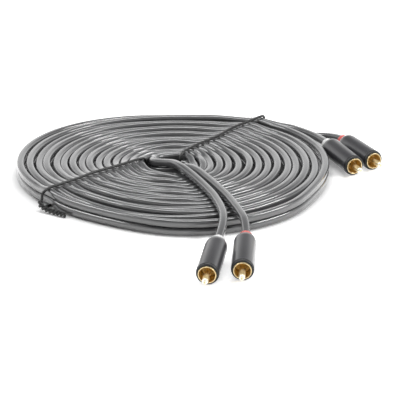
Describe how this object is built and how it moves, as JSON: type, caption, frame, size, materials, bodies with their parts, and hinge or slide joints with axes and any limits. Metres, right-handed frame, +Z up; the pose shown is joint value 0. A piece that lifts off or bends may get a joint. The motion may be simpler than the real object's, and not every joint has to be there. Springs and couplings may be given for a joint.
{
  "type": "rca audio cable",
  "caption": "Twin-core audio lead wound on edge into a flat coil and held by wire ties, with a white and a red gold-plated phono plug at each end.",
  "frame": {"origin": "middle of the bounding box in plan, on the surface the coil lies on", "axes": "+Z up, +Y towards the back of the coil, away from the front pair of plugs, +X towards the side where the other pair comes out"},
  "size_m": [0.2096, 0.2552, 0.0159],
  "materials": {
    "cord_grey": "satin grey flexible jacket",
    "shell_black": "satin charcoal barrel",
    "collar_white": "smooth white",
    "collar_red": "smooth coral red",
    "gold_plate": "bright gold-coloured plating",
    "insulator_amber": "amber brown, slightly glossy",
    "mould_black": "dull black",
    "wire_black": "plastic-coated wire, satin black"
  },
  "bodies": {
    "root": {"cable_coil": "cord_grey", "wire_tie_left": "wire_black", "wire_tie_right": "wire_black", "front_white_leg": "cord_grey", "front_white_shell": "shell_black", "front_white_collar": "collar_white", "front_white_cord_end": "cord_grey", "front_white_ground_sleeve": "gold_plate", "front_white_insulator": "insulator_amber", "front_white_centre_pin": "gold_plate", "front_white_inner_mould": "mould_black", "front_red_leg": "cord_grey", "front_red_shell": "shell_black", "front_red_collar": "collar_red", "front_red_cord_end": "cord_grey", "front_red_ground_sleeve": "gold_plate", "front_red_insulator": "insulator_amber", "front_red_centre_pin": "gold_plate", "front_red_inner_mould": "mould_black", "rear_white_leg": "cord_grey", "rear_white_shell": "shell_black", "rear_white_collar": "collar_white", "rear_white_cord_end": "cord_grey", "rear_white_ground_sleeve": "gold_plate", "rear_white_insulator": "insulator_amber", "rear_white_centre_pin": "gold_plate", "rear_white_inner_mould": "mould_black", "rear_red_leg": "cord_grey", "rear_red_shell": "shell_black", "rear_red_collar": "collar_red", "rear_red_cord_end": "cord_grey", "rear_red_ground_sleeve": "gold_plate", "rear_red_insulator": "insulator_amber", "rear_red_centre_pin": "gold_plate", "rear_red_inner_mould": "mould_black"}
  },
  "joints": []
}
